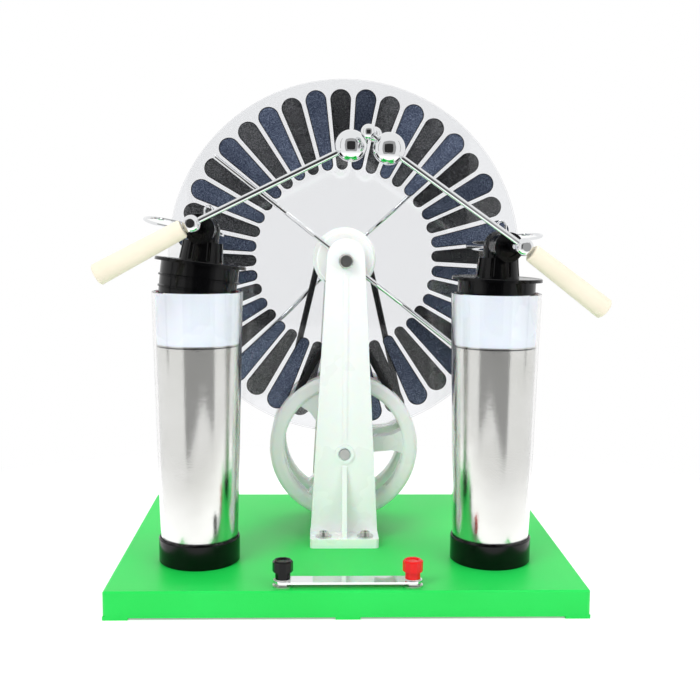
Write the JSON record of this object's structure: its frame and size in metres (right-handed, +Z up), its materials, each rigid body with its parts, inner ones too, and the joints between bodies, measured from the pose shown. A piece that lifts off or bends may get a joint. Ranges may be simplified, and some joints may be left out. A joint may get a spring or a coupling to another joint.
{
  "type": "influence machine",
  "caption": "Hand-cranked electrostatic influence machine: clear foil-sectored discs turning opposite ways by belts, capped jars, collector forks, discharge rods with balls, on a green base.",
  "frame": {"origin": "middle of the base board's underside, on the face of its centre foot, where it stands on the table", "axes": "+X to the right as seen from the front, +Y from the front to the rear along the axles, +Z up"},
  "size_m": [0.3469, 0.2948, 0.3772],
  "materials": {
    "green_plastic": "bright green moulded plastic, satin with a fine grain",
    "white_plastic": "milky white moulded plastic, slightly translucent",
    "clear_acrylic": "clear polished acrylic sheet",
    "clear_beaker": "clear moulded plastic",
    "sector_foil": "thin matt metal foil",
    "jar_foil": "wrapped metal foil",
    "milky_cup": "milky plastic cup",
    "black_plastic": "black moulded plastic",
    "chrome": "polished chrome plate",
    "steel": "turned steel",
    "zinc": "zinc-plated steel",
    "brass": "brass",
    "belt_rubber": "black round rubber belt",
    "cream_plastic": "cream insulating plastic",
    "red_plastic": "red moulded plastic"
  },
  "bodies": {
    "frame": {"base": "green_plastic", "front_upright": "white_plastic", "rear_upright": "white_plastic", "upright_screws": "zinc", "axle": "steel", "axle_nuts": "zinc", "disc_spacer": "white_plastic", "front_belt": "belt_rubber", "rear_belt": "belt_rubber", "terminal_posts": "zinc", "lead_strips": "brass", "jar_screws": "zinc", "left_jar_ring": "black_plastic", "left_jar_shell": "clear_beaker", "left_jar_foil": "jar_foil", "left_jar_cup": "milky_cup", "left_jar_lining": "jar_foil", "right_jar_ring": "black_plastic", "right_jar_shell": "clear_beaker", "right_jar_foil": "jar_foil", "right_jar_cup": "milky_cup", "right_jar_lining": "jar_foil"},
    "drive": {"drive_shaft": "steel", "front_drive_wheel": "white_plastic", "rear_drive_wheel": "white_plastic", "crank_arm": "steel", "crank_pin": "steel"},
    "grip": {"crank_grip": "cream_plastic"},
    "front_disc": {"front_disc": "clear_acrylic", "front_sectors": "sector_foil", "front_hub_pulley": "white_plastic"},
    "rear_disc": {"rear_disc": "clear_acrylic", "rear_sectors": "sector_foil", "rear_hub_pulley": "white_plastic"},
    "front_neutraliser": {"front_neutraliser": "chrome"},
    "rear_neutraliser": {"rear_neutraliser": "chrome"},
    "left_head": {"left_stopper": "black_plastic", "left_elbow": "black_plastic", "left_contact_rod": "brass", "left_bar": "chrome", "left_fork": "chrome"},
    "right_head": {"right_stopper": "black_plastic", "right_elbow": "black_plastic", "right_contact_rod": "brass", "right_bar": "chrome", "right_fork": "chrome"},
    "left_arm": {"left_pivot_ball": "chrome", "left_rod": "chrome", "left_balls": "chrome", "left_handle": "cream_plastic"},
    "right_arm": {"right_pivot_ball": "chrome", "right_rod": "chrome", "right_balls": "chrome", "right_handle": "cream_plastic"},
    "link": {"shorting_link": "chrome"},
    "black_washer": {"black_washer": "zinc"},
    "red_washer": {"red_washer": "zinc"},
    "black_knob": {"black_knob": "black_plastic"},
    "red_knob": {"red_knob": "red_plastic"}
  },
  "joints": [
    {"name": "crank_turn", "type": "hinge", "parent": "frame", "child": "drive", "pos_m": [0, 0.037, 0.089], "axis": [0, 1, 0], "continuous": true},
    {"name": "grip_spin", "type": "hinge", "parent": "drive", "child": "grip", "pos_m": [0, 0.1153, 0.033], "axis": [0, 1, 0], "continuous": true},
    {"name": "front_disc_spin", "type": "hinge", "parent": "frame", "child": "front_disc", "pos_m": [0, 0.037, 0.2372], "axis": [0, 1, 0], "continuous": true},
    {"name": "rear_disc_spin", "type": "hinge", "parent": "frame", "child": "rear_disc", "pos_m": [0, 0.037, 0.2372], "axis": [0, 1, 0], "continuous": true},
    {"name": "front_neutraliser_turn", "type": "hinge", "parent": "frame", "child": "front_neutraliser", "pos_m": [0, 0.037, 0.2372], "axis": [0, 1, 0], "range_deg": [-15, 15]},
    {"name": "rear_neutraliser_turn", "type": "hinge", "parent": "frame", "child": "rear_neutraliser", "pos_m": [0, 0.037, 0.2372], "axis": [0, 1, 0], "range_deg": [-1.5, 18]},
    {"name": "left_stopper_lift", "type": "slide", "parent": "frame", "child": "left_head", "axis": [0, 0, 1], "range_m": [0, 0.03]},
    {"name": "right_stopper_lift", "type": "slide", "parent": "frame", "child": "right_head", "axis": [0, 0, 1], "range_m": [0, 0.03]},
    {"name": "left_rod_swing", "type": "hinge", "parent": "left_head", "child": "left_arm", "pos_m": [-0.10462, -0.10942, 0.26438], "axis": [-0.0522, -0.9951, 0.0837], "range_deg": [0, 80]},
    {"name": "right_rod_swing", "type": "hinge", "parent": "right_head", "child": "right_arm", "pos_m": [0.11527, -0.111, 0.25116], "axis": [-0.1322, 0.9911, -0.0175], "range_deg": [0, 80]},
    {"name": "link_swing", "type": "hinge", "parent": "frame", "child": "link", "pos_m": [-0.0444, -0.114, 0.02375], "axis": [0, 0, 1], "range_deg": [-100, 0]},
    {"name": "black_knob_turn", "type": "hinge", "parent": "black_washer", "child": "black_knob", "pos_m": [-0.0444, -0.114, 0.03], "axis": [0, 0, 1], "range_deg": [0, 1800]},
    {"name": "black_knob_rise", "type": "slide", "parent": "frame", "child": "black_washer", "axis": [0, 0, 1], "range_m": [0, 0.0035]},
    {"name": "red_knob_turn", "type": "hinge", "parent": "red_washer", "child": "red_knob", "pos_m": [0.0444, -0.114, 0.03], "axis": [0, 0, 1], "range_deg": [0, 1800]},
    {"name": "red_knob_rise", "type": "slide", "parent": "frame", "child": "red_washer", "axis": [0, 0, 1], "range_m": [0, 0.0035]}
  ],
  "couplings": [
    {"joint": "front_disc_spin", "follows": "crank_turn", "ratio": -2.7179},
    {"joint": "rear_disc_spin", "follows": "crank_turn", "ratio": 2.7179},
    {"joint": "black_knob_turn", "follows": "black_knob_rise", "rad_per_m": 8976},
    {"joint": "red_knob_turn", "follows": "red_knob_rise", "rad_per_m": 8976}
  ]
}
